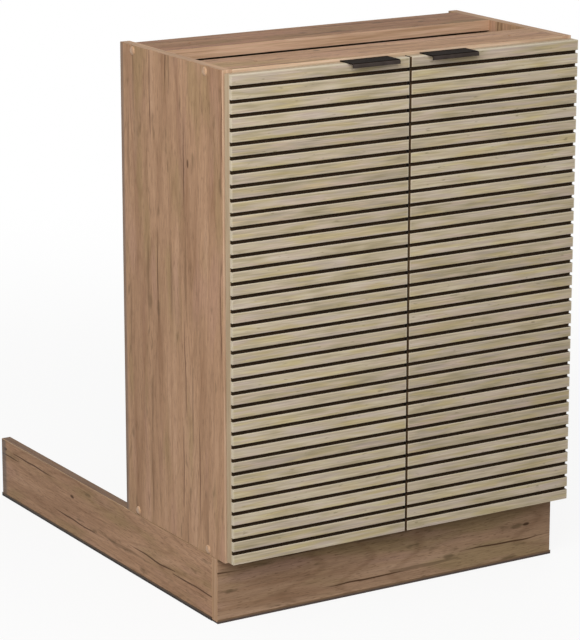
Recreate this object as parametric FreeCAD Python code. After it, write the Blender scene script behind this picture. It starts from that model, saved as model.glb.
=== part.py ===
import FreeCAD, Part
import os
from math import cos, radians, sin, sqrt

# Kitchen base cabinet with two slatted doors, edge pulls, concealed hinges and a plinth.
# Millimetres. X runs to the right, Y to the back, Z up. The pieces are drawn from the left
# front corner of the carcass at floor level, and set at the end with the origin on the
# floor, in the middle of the whole object's box.

Vector = FreeCAD.Vector

# Carcass boards
carcass_width = 600.0
carcass_height = 720.0
carcass_depth = 298.0
board = 16.0
edge_band = 1.0
stretcher_depth = 90.0
back_thickness = 3.0
back_recess = 18.0
back_groove_depth = 8.0
back_groove_play = 0.3
leg_height = 100.0

# Shelf and its pins
shelf_setback = 25.0
shelf_side_play = 0.5
shelf_back_play = 0.8
shelf_hole_pitch = 32.0
shelf_hole_count = 5
shelf_hole_depth = 9.0
shelf_row_inset = 40.0
shelf_pin_radius = 2.5
shelf_pin_flange = 4.0
shelf_pin_flange_thickness = 1.5
shelf_pin_tongue = 10.0
shelf_pin_tongue_thickness = 2.0

# Carcass fasteners
seat_play = 0.05
end_play = 0.3
confirmat_length = 50.0
confirmat_radius = 3.5
confirmat_head_radius = 5.0
confirmat_head_length = 4.0
confirmat_socket_radius = 2.0
confirmat_socket_depth = 3.0
confirmat_front_inset = 49.0
confirmat_rear_inset = 17.0
cap_radius = 6.5
cap_top_radius = 5.0
cap_rise = 1.8
cap_stem_length = 2.5
dowel_radius = 4.0
dowel_length = 30.0
dowel_in_side = 11.0
dowel_inset = 22.0
back_screw_inset = 60.0
back_screw_length = 15.0
worktop_hole_radius = 2.5
worktop_hole_inset = 80.0
small_screw_radius = 1.75
small_head_radius = 3.4
small_head_length = 1.2
tip_length = 2.0

# Doors
door_gap = 2.5
door_board = 12.5
slat_thickness = 5.5
slat_count = 36
slat_edge_radius = 0.6
groove_width = 5.0
door_side_reveal = 2.0
door_centre_gap = 4.0
door_top_reveal = 4.0
door_bottom_reveal = 3.0
bumper_radius = 4.0
bumper_thickness = 2.2
bumper_inset = 12.0

# Edge pulls
handle_length = 80.0
handle_inset = 26.0
handle_sheet = 1.5
handle_overhang = 16.0
handle_lip = 6.5
handle_nose_radius = 3.5
handle_leg = 26.0
handle_leg_sheet = 1.3
handle_screw_inset = 15.0
handle_screw_drop = 14.0
handle_screw_length = 11.0

# Hinges
hinge_inset = 100.0
hinge_pin_inset = 6.0
hinge_pin_depth = 8.5
hinge_pin_radius = 1.1
hinge_running_play = 0.05
cup_radius = 17.5
cup_wall = 0.6
cup_depth = 11.5
cup_edge_distance = 2.8
cup_boss_radius = 2.2
cup_flange = 1.0
cup_flange_rim = 0.8
cup_wing_half = 31.0
cup_wing_back = 3.0
cup_screw_half_spacing = 24.0
cup_screw_offset = 8.0
cup_screw_length = 11.0
arm_strap = 2.0
arm_eye_radius = 2.0
arm_eye_half_width = 3.2
arm_rise_setoff = 4.0
arm_bend_radius = 2.0
arm_channel_start = 12.0
arm_channel_end = 68.0
arm_channel_half_width = 7.0
arm_channel_height = 9.0
arm_sheet = 1.5
plate_base = 2.5
plate_start = 22.0
plate_end = 66.0
plate_half_width = 8.0
plate_wing_half = 24.0
plate_wing_width = 16.0
plate_block_play = 0.3
plate_screw_setback = 37.0
plate_screw_half_spacing = 16.0
plate_screw_length = 13.0
plate_screw_radius = 2.5
plate_screw_head_radius = 4.6
plate_screw_head_length = 1.8
arm_screw_setback = 52.0
arm_screw_radius = 2.5
arm_screw_head_radius = 4.0
arm_screw_head_length = 1.6
arm_screw_length = 7.5

# Legs and levelling feet
leg_setin = 40.0
leg_to_rear_screw = 31.0
leg_flange_radius = 28.0
leg_flange = 4.0
leg_tube_radius = 14.0
leg_tube_bottom = 22.0
leg_screw_circle = 21.0
leg_screw_count = 4
leg_screw_length = 15.0
foot_radius = 24.0
foot_height = 8.0
foot_edge = 2.0
stem_radius = 8.0
stem_headroom = 28.0
stem_running_play = 0.05

# Plinth boards, seals, clips and corner bracket
plinth_setback = 23.0
plinth_top_gap = 0.5
left_plinth_length = 695.0
seal_base = 2.0
seal_lip = 0.8
seal_lip_height = 4.0
seal_overrun = 1.2
clip_plate = 2.5
clip_plate_width = 30.0
clip_plate_height = 30.0
clip_ring_thickness = 3.0
clip_ring_height = 12.0
clip_ring_play = 0.1
clip_neck_width = 14.0
clip_mouth_half_angle = 50.0
front_clip_drop = 30.0
left_clip_drop = 62.0
clip_screw_half_spacing = 11.0
bracket_leg = 22.0
bracket_sheet = 2.0
bracket_height = 40.0
bracket_drop = 30.0
bracket_screw_edge = 10.0
plinth_screw_length = 12.0

# Places worked out from the sizes above
inner_left = board
inner_right = carcass_width - board
carcass_bottom = leg_height
carcass_top = leg_height + carcass_height
back_rear = carcass_depth - back_recess
back_front = back_rear - back_thickness
rear_stretcher_front = back_front - stretcher_depth
stretcher_bottom = carcass_top - board
floor_top = carcass_bottom + board
stretcher_middle = carcass_top - board / 2
floor_middle = carcass_bottom + board / 2

door_back = -door_gap
door_face = door_back - door_board
door_front = door_face - slat_thickness
door_bottom = carcass_bottom + door_bottom_reveal
door_top = carcass_top - door_top_reveal
door_outer = door_side_reveal
door_inner = carcass_width / 2 - door_centre_gap / 2
hinge_levels = [door_bottom + hinge_inset, door_top - hinge_inset]

plinth_back = plinth_setback + board
plinth_top = carcass_bottom - plinth_top_gap
front_clip_level = carcass_bottom - front_clip_drop
left_clip_level = carcass_bottom - left_clip_drop
bracket_bottom = carcass_bottom - bracket_drop - bracket_height
stem_top = carcass_bottom - stem_headroom
left_plinth_end = plinth_back + left_plinth_length
leg_x = [board + leg_setin, carcass_width - board - leg_setin]

shelf_bottom = carcass_bottom + carcass_height / 2
shelf_pin_level = shelf_bottom - shelf_pin_flange
shelf_rows = [shelf_row_inset + shelf_setback, back_front - shelf_row_inset]

confirmat_front = confirmat_front_inset
confirmat_rear = back_front - confirmat_rear_inset
leg_y = [plinth_back + leg_setin, confirmat_rear - leg_to_rear_screw]
confirmat_places = [
    (confirmat_front, stretcher_middle),
    (confirmat_rear, stretcher_middle),
    (confirmat_front, floor_middle),
    (confirmat_rear, floor_middle),
]
dowel_places = [
    (dowel_inset, stretcher_middle),
    (rear_stretcher_front + dowel_inset, stretcher_middle),
    ((confirmat_front + confirmat_rear) / 2, floor_middle),
]
worktop_hole_x = [worktop_hole_inset, carcass_width - worktop_hole_inset]
back_screw_x = [back_screw_inset, carcass_width / 2, carcass_width - back_screw_inset]

handle_front = door_front - handle_overhang
handle_right = door_inner - handle_inset
handle_left = handle_right - handle_length
handle_top = door_top + handle_sheet

pin_x = door_outer + hinge_pin_inset
pin_y = door_back - hinge_pin_depth
cup_x = door_outer + cup_edge_distance + cup_radius

RIGHT = Vector(1, 0, 0)
BACK = Vector(0, 1, 0)
UP = Vector(0, 0, 1)
LEFT = RIGHT * -1
FORWARD = BACK * -1
DOWN = UP * -1

object_middle = Vector(carcass_width / 2, (handle_front + left_plinth_end + seal_overrun) / 2, 0)


def block(x_span, y_span, z_span):
    """A box between two limits on each axis."""
    corner = Vector(x_span[0], y_span[0], z_span[0])
    return Part.makeBox(
        x_span[1] - x_span[0], y_span[1] - y_span[0], z_span[1] - z_span[0], corner
    )


def turned(start, direction, outline, play=0.0):
    """A turned solid from pairs of radius and distance along its axis, or its hole with play."""
    steps = [(radius + play if radius else 0.0, along) for radius, along in outline]
    steps[-1] = (steps[-1][0], steps[-1][1] + play)
    points = [Vector(0, 0, steps[0][1])]
    points += [Vector(radius, 0, along) for radius, along in steps if radius]
    points += [Vector(0, 0, steps[-1][1]), points[0]]
    solid = Part.Face(Part.makePolygon(points)).revolve(Vector(), UP, 360)
    solid.Placement = FreeCAD.Placement(start, FreeCAD.Rotation(UP, direction))
    return solid


def rod(start, direction, radius, length, play=0.0):
    """A plain round bar, or its hole with play."""
    return turned(start, direction, [(radius, 0.0), (radius, length)], play)


def sunk_screw(start, direction, length, radius=small_screw_radius,
               head_radius=small_head_radius, head_length=small_head_length, play=0.0):
    """A countersunk screw with a pointed tip, or its hole with play."""
    outline = [
        (head_radius, 0.0),
        (radius, head_length),
        (radius, length - tip_length),
        (0.0, length),
    ]
    return turned(start, direction, outline, play)


def extruded(edges, length_vector):
    """A solid swept from a closed outline of lines and arcs."""
    return Part.Face(Part.Wire(edges)).extrude(length_vector)


def line(start, end):
    return Part.LineSegment(start, end).toShape()


def quarter_arc(start, end, centre):
    """The short arc from start to end about a centre."""
    radius = (start - centre).Length
    middle = centre + ((start - centre) + (end - centre)).normalize() * radius
    return Part.Arc(start, middle, end).toShape()


def cut_all(solid, tools):
    for tool in tools:
        solid = solid.cut(tool)
    return solid


def fused(solids):
    return solids[0].multiFuse(solids[1:]).removeSplitter()


def mirrored(solid):
    """The same piece on the other side of the cabinet's middle plane."""
    return solid.mirror(Vector(carcass_width / 2, 0, 0), RIGHT)


def both_sides(solids):
    return solids + [mirrored(solid) for solid in solids]


def save(name, solids):
    """Write one node, moved so that the origin is under the middle of the object."""
    shape = solids[0] if len(solids) == 1 else Part.makeCompound(solids)
    shape = shape.copy()
    shape.translate(object_middle * -1)
    shape.exportStep("parts/" + name + ".step")


def confirmat(y, z, play=0.0):
    """One assembly screw through the left side panel into a board's end."""
    outline = [
        (confirmat_head_radius, 0.0),
        (confirmat_head_radius, confirmat_head_length),
        (confirmat_radius, confirmat_head_length),
        (confirmat_radius, confirmat_length - tip_length),
        (0.0, confirmat_length),
    ]
    return turned(Vector(0, y, z), RIGHT, outline, play)


def confirmat_with_socket(y, z):
    socket = rod(Vector(0, y, z), RIGHT, confirmat_socket_radius, confirmat_socket_depth)
    return confirmat(y, z).cut(socket)


def screw_cap(y, z):
    """A cover cap whose stem sits in the screw's socket."""
    outline = [
        (cap_top_radius, -cap_rise),
        (cap_radius, 0.0),
        (confirmat_socket_radius - seat_play, 0.0),
        (confirmat_socket_radius - seat_play, cap_stem_length),
    ]
    return turned(Vector(0, y, z), RIGHT, outline)


def dowel(y, z, play=0.0):
    start = Vector(board - dowel_in_side - play, y, z)
    return rod(start, RIGHT, dowel_radius, dowel_length + play, play)


def end_holes(y_span, z):
    """Holes for the screws and dowels that enter a board at both of its ends."""
    places = [(y, level) for y, level in confirmat_places if level == z and y_span[0] < y < y_span[1]]
    pegs = [(y, level) for y, level in dowel_places if level == z and y_span[0] < y < y_span[1]]
    tools = [confirmat(y, level, seat_play) for y, level in places]
    tools += [dowel(y, level, seat_play) for y, level in pegs]
    return both_sides(tools)


def shelf_hole_levels():
    middle = (shelf_hole_count - 1) / 2
    return [shelf_pin_level + (index - middle) * shelf_hole_pitch for index in range(shelf_hole_count)]


def plate_screw(level, play=0.0):
    start = Vector(board + plate_base, plate_screw_setback, level)
    return sunk_screw(start, LEFT, plate_screw_length, plate_screw_radius,
                      plate_screw_head_radius, plate_screw_head_length, play)


def plate_screw_levels(hinge_level):
    return [hinge_level - plate_screw_half_spacing, hinge_level + plate_screw_half_spacing]


def side_panel():
    """The left side board, grooved for the back and bored for screws, pins and hinge plates."""
    panel = block((0, board), (edge_band, carcass_depth), (carcass_bottom, carcass_top))
    groove_x = (board - back_groove_depth, board)
    tools = [block(groove_x, (back_front, back_rear), (carcass_bottom, carcass_top))]
    tools += [confirmat(y, z, seat_play) for y, z in confirmat_places]
    tools += [dowel(y, z, seat_play) for y, z in dowel_places]
    for row in shelf_rows:
        for level in shelf_hole_levels():
            tools.append(rod(Vector(board, row, level), LEFT, shelf_pin_radius, shelf_hole_depth, seat_play))
    for hinge_level in hinge_levels:
        tools += [plate_screw(level, seat_play) for level in plate_screw_levels(hinge_level)]
    return cut_all(panel, tools)


def leg_places():
    return [(x, y) for y in leg_y for x in leg_x]


def leg_screws(x, y, play=0.0):
    screws = []
    for index in range(leg_screw_count):
        turn = radians(360 * (index + 0.5) / leg_screw_count)
        start = Vector(x + leg_screw_circle * cos(turn), y + leg_screw_circle * sin(turn),
                       carcass_bottom - leg_flange)
        screws.append(sunk_screw(start, UP, leg_screw_length, play=play))
    return screws


def back_screw(x, z, play=0.0):
    return sunk_screw(Vector(x, back_rear, z), FORWARD, back_screw_length, play=play)


def back_screws(z, play=0.0):
    return [back_screw(x, z, play) for x in back_screw_x]


def bottom_panel():
    span = (edge_band, back_front)
    panel = block((inner_left, inner_right), span, (carcass_bottom, floor_top))
    tools = end_holes(span, floor_middle) + back_screws(floor_middle, seat_play)
    for x, y in leg_places():
        tools += leg_screws(x, y, seat_play)
    return cut_all(panel, tools)


def worktop_holes(y):
    return [rod(Vector(x, y, stretcher_bottom), UP, worktop_hole_radius, board) for x in worktop_hole_x]


def stretcher(front, extra_holes):
    """A flat rail across the top, with the holes for the screws that hold a worktop."""
    span = (front + edge_band, front + stretcher_depth)
    rail = block((inner_left, inner_right), span, (stretcher_bottom, carcass_top))
    tools = end_holes(span, stretcher_middle) + worktop_holes(front + stretcher_depth / 2)
    return cut_all(rail, tools + extra_holes)


def back_panel():
    reach = back_groove_depth - back_groove_play
    panel = block((inner_left - reach, inner_right + reach), (back_front, back_rear),
                  (carcass_bottom, carcass_top))
    return cut_all(panel, back_screws(stretcher_middle, seat_play) + back_screws(floor_middle, seat_play))


def shelf():
    span = (shelf_setback + edge_band, back_front - shelf_back_play)
    return block((inner_left + shelf_side_play, inner_right - shelf_side_play), span,
                 (shelf_bottom, shelf_bottom + board))


def shelf_pin(y):
    """A shelf support: a pin in the side panel, a round flange and a flat tongue."""
    shank = rod(Vector(board, y, shelf_pin_level), LEFT, shelf_pin_radius, shelf_hole_depth - end_play)
    flange = rod(Vector(board, y, shelf_pin_level), RIGHT, shelf_pin_flange, shelf_pin_flange_thickness)
    tongue = block((board, board + shelf_pin_tongue), (y - shelf_pin_flange, y + shelf_pin_flange),
                   (shelf_bottom - shelf_pin_tongue_thickness, shelf_bottom))
    return fused([shank, flange, tongue])


def carcass_edge_bands():
    """The strips glued on the boards' front edges."""
    front = (0, edge_band)
    across = (inner_left, inner_right)
    side = block((0, board), front, (carcass_bottom, carcass_top))
    shelf_across = (inner_left + shelf_side_play, inner_right - shelf_side_play)
    return both_sides([side]) + [
        block(across, front, (carcass_bottom, floor_top)),
        block(across, front, (stretcher_bottom, carcass_top)),
        block(across, (rear_stretcher_front, rear_stretcher_front + edge_band),
              (stretcher_bottom, carcass_top)),
        block(shelf_across, (shelf_setback, shelf_setback + edge_band),
              (shelf_bottom, shelf_bottom + board)),
    ]


def handle_screws(play=0.0):
    level = door_top - handle_screw_drop
    places = [handle_left + handle_screw_inset, handle_right - handle_screw_inset]
    back = door_back + handle_leg_sheet
    return [sunk_screw(Vector(x, back, level), FORWARD, handle_screw_length, play=play) for x in places]


def cup_screws(level, play=0.0):
    x = cup_x + cup_screw_offset
    levels = [level - cup_screw_half_spacing, level + cup_screw_half_spacing]
    back = door_back + cup_flange
    return [sunk_screw(Vector(x, back, z), FORWARD, cup_screw_length, play=play) for z in levels]


def door_core():
    """The board behind the slats, bored for the hinge cups and the screws."""
    core = block((door_outer + edge_band, door_inner - edge_band), (door_face, door_back),
                 (door_bottom + edge_band, door_top - edge_band))
    tools = handle_screws(seat_play)
    for level in hinge_levels:
        tools.append(rod(Vector(cup_x, door_back, level), FORWARD, cup_radius, cup_depth, seat_play))
        tools += cup_screws(level, seat_play)
    return cut_all(core, tools)


def door_edge_bands():
    depth = (door_face, door_back)
    height = (door_bottom, door_top)
    across = (door_outer + edge_band, door_inner - edge_band)
    return [
        block((door_outer, door_outer + edge_band), depth, height),
        block((door_inner - edge_band, door_inner), depth, height),
        block(across, depth, (door_bottom, door_bottom + edge_band)),
        block(across, depth, (door_top - edge_band, door_top)),
    ]


def door_slats():
    """Equal slats over the whole door, with open grooves between them."""
    height = (door_top - door_bottom - (slat_count - 1) * groove_width) / slat_count
    radius = slat_edge_radius
    solids = []
    for index in range(slat_count):
        low = door_bottom + index * (height + groove_width)
        high = low + height
        points = [
            Vector(door_outer, door_face, low),
            Vector(door_outer, door_front + radius, low),
            Vector(door_outer, door_front, low + radius),
            Vector(door_outer, door_front, high - radius),
            Vector(door_outer, door_front + radius, high),
            Vector(door_outer, door_face, high),
        ]
        low_centre = points[1] + UP * radius
        high_centre = points[4] - UP * radius
        edges = [
            line(points[0], points[1]),
            quarter_arc(points[1], points[2], low_centre),
            line(points[2], points[3]),
            quarter_arc(points[3], points[4], high_centre),
            line(points[4], points[5]),
            line(points[5], points[0]),
        ]
        solids.append(extruded(edges, RIGHT * (door_inner - door_outer)))
    return solids


def bumpers():
    """Soft stops on the door's back, at its free corners."""
    x = door_inner - bumper_inset
    return [rod(Vector(x, door_back, z), BACK, bumper_radius, bumper_thickness)
            for z in (floor_middle, stretcher_middle)]


def handle():
    """One bent sheet: a leg behind the door, a plate over its top edge and a lip in front."""
    nose = handle_nose_radius
    inner_nose = nose - handle_sheet
    rear = door_back + handle_leg_sheet
    foot = door_top - handle_leg
    lip = handle_top - handle_lip

    def at(y, z):
        return Vector(handle_left, y, z)

    centre = at(handle_front + nose, handle_top - nose)
    outer = [at(rear, foot), at(rear, handle_top), at(centre.y, handle_top)]
    outer_end = at(handle_front, centre.z)
    inner_start = at(handle_front + handle_sheet, centre.z)
    inner_end = at(centre.y, centre.z + inner_nose)
    edges = [
        line(outer[0], outer[1]),
        line(outer[1], outer[2]),
        quarter_arc(outer[2], outer_end, centre),
        line(outer_end, at(handle_front, lip)),
        line(at(handle_front, lip), at(inner_start.y, lip)),
        line(at(inner_start.y, lip), inner_start),
        quarter_arc(inner_start, inner_end, centre),
        line(inner_end, at(door_back, door_top)),
        line(at(door_back, door_top), at(door_back, foot)),
        line(at(door_back, foot), outer[0]),
    ]
    return cut_all(extruded(edges, RIGHT * handle_length), handle_screws(seat_play))


def hinge_pin(level, play=0.0):
    """The pin lies along a chord of the cup and stays inside the cup's round wall."""
    farthest = cup_x - pin_x + hinge_pin_radius
    half = sqrt(cup_radius ** 2 - farthest ** 2) - seat_play
    return rod(Vector(pin_x, pin_y, level - half), UP, hinge_pin_radius, 2 * half, play)


def hinge_cup(level):
    """The pressed cup in the door, with two bosses that hold the pin."""
    mouth = Vector(cup_x, door_back, level)
    body = rod(mouth, FORWARD, cup_radius, cup_depth)
    rim = rod(mouth, BACK, cup_radius + cup_flange_rim, cup_flange)
    wings = block((cup_x - cup_wing_back, cup_x + cup_radius), (door_back, door_back + cup_flange),
                  (level - cup_wing_half, level + cup_wing_half))
    hollow = rod(mouth + BACK * cup_flange, FORWARD, cup_radius - cup_wall,
                 cup_depth + cup_flange - cup_wall)
    shell = fused([body, rim, wings]).cut(hollow)
    gap = arm_eye_half_width + end_play
    bosses = []
    for direction in (UP, DOWN):
        start = Vector(pin_x, pin_y, level) + direction * gap
        bosses.append(rod(start, direction, cup_boss_radius, cup_radius).common(body))
    return cut_all(fused([shell] + bosses), [hinge_pin(level, seat_play)] + cup_screws(level, seat_play))


def arm_rise_x():
    left = inner_left + arm_rise_setoff
    return left, left + arm_strap


def arm_screw(level, play=0.0):
    top = inner_left + plate_base + arm_channel_height
    outline = [
        (arm_screw_head_radius, -arm_screw_head_length),
        (arm_screw_head_radius, 0.0),
        (arm_screw_radius, 0.0),
        (arm_screw_radius, arm_screw_length),
    ]
    return turned(Vector(top, arm_screw_setback, level), LEFT, outline, play)


def hinge_arm(level):
    """A hooked strap that reaches the pin inside the cup, and a channel over the plate."""
    left, right = arm_rise_x()
    low = pin_y - arm_eye_radius
    top = low + arm_strap
    inner = arm_bend_radius
    outer = inner + arm_strap
    width = 2 * arm_eye_half_width

    def at(x, y):
        return Vector(x, y, level - arm_eye_half_width)

    centre = at(right - outer, low + outer)
    edges = [
        line(at(pin_x, low), at(centre.x, low)),
        quarter_arc(at(centre.x, low), at(right, centre.y), centre),
        line(at(right, centre.y), at(right, arm_channel_start)),
        line(at(right, arm_channel_start), at(left, arm_channel_start)),
        line(at(left, arm_channel_start), at(left, centre.y)),
        quarter_arc(at(left, centre.y), at(centre.x, top), centre),
        line(at(centre.x, top), at(pin_x, top)),
        line(at(pin_x, top), at(pin_x, low)),
    ]
    hook = extruded(edges, UP * width)
    eye = rod(at(pin_x, pin_y), UP, arm_eye_radius, width)
    seat = inner_left + plate_base
    roof = seat + arm_channel_height
    half = arm_channel_half_width
    length = (arm_channel_start, arm_channel_end)
    channel = block((seat, roof), length, (level - half, level + half))
    hollow = block((seat, roof - arm_sheet), (arm_channel_start + arm_strap, arm_channel_end),
                   (level - half + arm_sheet, level + half - arm_sheet))
    bore = rod(at(pin_x, pin_y), UP, hinge_pin_radius, width, hinge_running_play)
    body = fused([hook, eye, channel.cut(hollow)])
    return cut_all(body, [bore, arm_screw(level, seat_play)])


def hinge_plate(level):
    """The mounting plate screwed to the side panel, with a block inside the arm's channel."""
    base_x = (inner_left, inner_left + plate_base)
    base = block(base_x, (plate_start, plate_end), (level - plate_half_width, level + plate_half_width))
    half_wing = plate_wing_width / 2
    wings = block(base_x, (plate_screw_setback - half_wing, plate_screw_setback + half_wing),
                  (level - plate_wing_half, level + plate_wing_half))
    half = arm_channel_half_width - arm_sheet - plate_block_play
    roof = inner_left + plate_base + arm_channel_height - arm_sheet - plate_block_play
    core = block((inner_left, roof), (plate_start, plate_end), (level - half, level + half))
    tools = [plate_screw(z, seat_play) for z in plate_screw_levels(level)]
    return cut_all(fused([base, wings, core]), tools + [arm_screw(level, seat_play)])


def leg_socket(x, y):
    """A leg tube with its flange screwed under the bottom panel."""
    outline = [
        (leg_tube_radius, leg_tube_bottom),
        (leg_tube_radius, carcass_bottom - leg_flange),
        (leg_flange_radius, carcass_bottom - leg_flange),
        (leg_flange_radius, carcass_bottom),
    ]
    tube = turned(Vector(x, y, 0), UP, outline)
    bore = rod(Vector(x, y, 0), UP, stem_radius + stem_running_play, stem_top + end_play)
    return cut_all(tube, [bore] + leg_screws(x, y, seat_play))


def levelling_foot(x, y):
    """A round foot with the stem that screws into the leg tube."""
    outline = [
        (foot_radius, 0.0),
        (foot_radius, foot_height - foot_edge),
        (foot_radius - foot_edge, foot_height),
        (stem_radius, foot_height),
        (stem_radius, stem_top),
    ]
    return turned(Vector(x, y, 0), UP, outline)


def front_plinth_screws(play=0.0):
    """Screws of the front clips and of one side of the corner bracket."""
    places = [(x + step, plinth_back + clip_plate, front_clip_level)
              for x in leg_x for step in (-clip_screw_half_spacing, clip_screw_half_spacing)]
    places += [(board + bracket_leg / 2, plinth_back + bracket_sheet, z) for z in bracket_screw_levels()]
    return [sunk_screw(Vector(*place), FORWARD, plinth_screw_length, play=play) for place in places]


def left_plinth_screws(play=0.0):
    """Screws of the left clips and of the other side of the corner bracket."""
    places = [(board + clip_plate, y + step, left_clip_level)
              for y in leg_y for step in (-clip_screw_half_spacing, clip_screw_half_spacing)]
    places += [(board + bracket_sheet, plinth_back + bracket_leg / 2, z) for z in bracket_screw_levels()]
    return [sunk_screw(Vector(*place), LEFT, plinth_screw_length, play=play) for place in places]


def bracket_screw_levels():
    return [bracket_bottom + bracket_screw_edge, bracket_bottom + bracket_height - bracket_screw_edge]


def front_plinth():
    plank = block((0, carcass_width), (plinth_setback, plinth_back), (seal_base, plinth_top))
    return cut_all(plank, front_plinth_screws(seat_play))


def left_plinth():
    plank = block((0, board), (plinth_back, left_plinth_end), (seal_base, plinth_top))
    return cut_all(plank, left_plinth_screws(seat_play))


def front_plinth_seal():
    """A channel of sealing strip under the front plinth."""
    span = (0, carcass_width + seal_overrun)
    outside = block(span, (plinth_setback - seal_lip, plinth_back + seal_lip),
                    (0, seal_base + seal_lip_height))
    inside = block(span, (plinth_setback, plinth_back), (seal_base, seal_base + seal_lip_height))
    corner = block((0, board), (plinth_back, plinth_back + seal_lip), (0, seal_base + seal_lip_height))
    return cut_all(outside, [inside, corner])


def left_plinth_seal():
    """The same channel under the left plinth, from the front plinth to its far end."""
    span = (plinth_back, left_plinth_end + seal_overrun)
    inner_start = plinth_back + seal_lip
    outside = block((-seal_lip, board + seal_lip), span, (0, seal_base + seal_lip_height))
    inside = block((0, board), span, (seal_base, seal_base + seal_lip_height))
    corner = block((board, board + seal_lip), (plinth_back, inner_start), (0, seal_base + seal_lip_height))
    return cut_all(outside, [inside, corner])


def plinth_clip(x, y, level):
    """A clip behind the front plinth that grips a leg tube."""
    half = clip_ring_height / 2
    centre = Vector(x, y, level - half)
    inner_radius = leg_tube_radius + clip_ring_play
    outer_radius = inner_radius + clip_ring_thickness
    plate = block((x - clip_plate_width / 2, x + clip_plate_width / 2),
                  (plinth_back, plinth_back + clip_plate),
                  (level - clip_plate_height / 2, level + clip_plate_height / 2))
    neck = block((x - clip_neck_width / 2, x + clip_neck_width / 2), (plinth_back, y),
                 (level - half, level + half))
    ring = rod(centre, UP, outer_radius, clip_ring_height)
    reach = 2 * outer_radius
    spread = radians(clip_mouth_half_angle)
    mouth_points = [
        centre,
        centre + Vector(reach * sin(spread), reach * cos(spread), 0),
        centre + Vector(-reach * sin(spread), reach * cos(spread), 0),
        centre,
    ]
    mouth = Part.Face(Part.makePolygon(mouth_points)).extrude(UP * clip_ring_height)
    bore = rod(centre, UP, inner_radius, clip_ring_height)
    return cut_all(fused([plate, neck, ring]), [mouth, bore] + front_plinth_screws(seat_play))


def left_plinth_clip(x, y, level):
    """The same clip turned to the left plinth: the two plinths' inner faces swap places."""
    across = Vector(1, -1, 0)
    corner = Vector(board, plinth_back, 0)
    swapped = plinth_clip(board + (y - plinth_back), plinth_back + (x - board), level)
    turned_clip = swapped.mirror(corner, across)
    return cut_all(turned_clip, left_plinth_screws(seat_play))


def corner_bracket():
    """A bent steel angle in the corner between the two plinth boards."""
    height = (bracket_bottom, bracket_bottom + bracket_height)
    front_leg = block((board, board + bracket_leg), (plinth_back, plinth_back + bracket_sheet), height)
    left_leg = block((board, board + bracket_sheet), (plinth_back, plinth_back + bracket_leg), height)
    return cut_all(fused([front_leg, left_leg]), front_plinth_screws(seat_play) + left_plinth_screws(seat_play))


os.makedirs("parts", exist_ok=True)

# Carcass
left_panel = side_panel()
save("left_side_panel", [left_panel])
save("right_side_panel", [mirrored(left_panel)])
save("bottom_panel", [bottom_panel()])
save("front_stretcher", [stretcher(0.0, [])])
save("rear_stretcher", [stretcher(rear_stretcher_front, back_screws(stretcher_middle, seat_play))])
save("back_panel", [back_panel()])
save("carcass_edge_bands", carcass_edge_bands())
save("confirmat_screws", both_sides([confirmat_with_socket(y, z) for y, z in confirmat_places]))
save("screw_caps", both_sides([screw_cap(y, z) for y, z in confirmat_places]))
save("dowels", both_sides([dowel(y, z) for y, z in dowel_places]))
save("back_panel_screws", back_screws(stretcher_middle) + back_screws(floor_middle))
save("shelf", [shelf()])
save("shelf_pins", both_sides([shelf_pin(y) for y in shelf_rows]))

# Legs, feet and plinth
foot_names = ["front_left_foot", "front_right_foot", "rear_left_foot", "rear_right_foot"]
for foot_name, (leg_at_x, leg_at_y) in zip(foot_names, leg_places()):
    save(foot_name, [levelling_foot(leg_at_x, leg_at_y)])
save("leg_sockets", [leg_socket(x, y) for x, y in leg_places()])
save("leg_screws", [screw for x, y in leg_places() for screw in leg_screws(x, y)])
save("front_plinth", [front_plinth()])
save("left_plinth", [left_plinth()])
save("front_plinth_seal", [front_plinth_seal()])
save("left_plinth_seal", [left_plinth_seal()])
save("front_plinth_clips", [plinth_clip(x, leg_y[0], front_clip_level) for x in leg_x])
save("left_plinth_clips", [left_plinth_clip(leg_x[0], y, left_clip_level) for y in leg_y])
save("plinth_corner_bracket", [corner_bracket()])
save("plinth_screws", front_plinth_screws() + left_plinth_screws())

# Doors, edge pulls and hinges, drawn on the left and mirrored to the right
for side, placed in (("left", list), ("right", lambda solids: [mirrored(solid) for solid in solids])):
    save(side + "_door_board", placed([door_core()]))
    save(side + "_door_edge_bands", placed(door_edge_bands()))
    save(side + "_door_slats", placed(door_slats()))
    save(side + "_door_bumpers", placed(bumpers()))
    save(side + "_handle", placed([handle()]))
    save(side + "_handle_screws", placed(handle_screws()))
    save(side + "_hinge_pins", placed([hinge_pin(level) for level in hinge_levels]))
    save(side + "_cup_screws", placed([screw for level in hinge_levels for screw in cup_screws(level)]))
    for place, level in zip(("lower", "upper"), hinge_levels):
        save(side + "_" + place + "_hinge_cup", placed([hinge_cup(level)]))
        save(side + "_" + place + "_hinge_arm", placed([hinge_arm(level)]))
        save(side + "_" + place + "_hinge_plate", placed([hinge_plate(level)]))
save("hinge_plate_screws", both_sides(
    [plate_screw(z) for level in hinge_levels for z in plate_screw_levels(level)]))
save("hinge_arm_screws", both_sides([arm_screw(level) for level in hinge_levels]))
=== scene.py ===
from math import cos, floor, pi, radians, sin, tau

import bmesh
import bpy
from mathutils import Matrix, Vector


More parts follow.
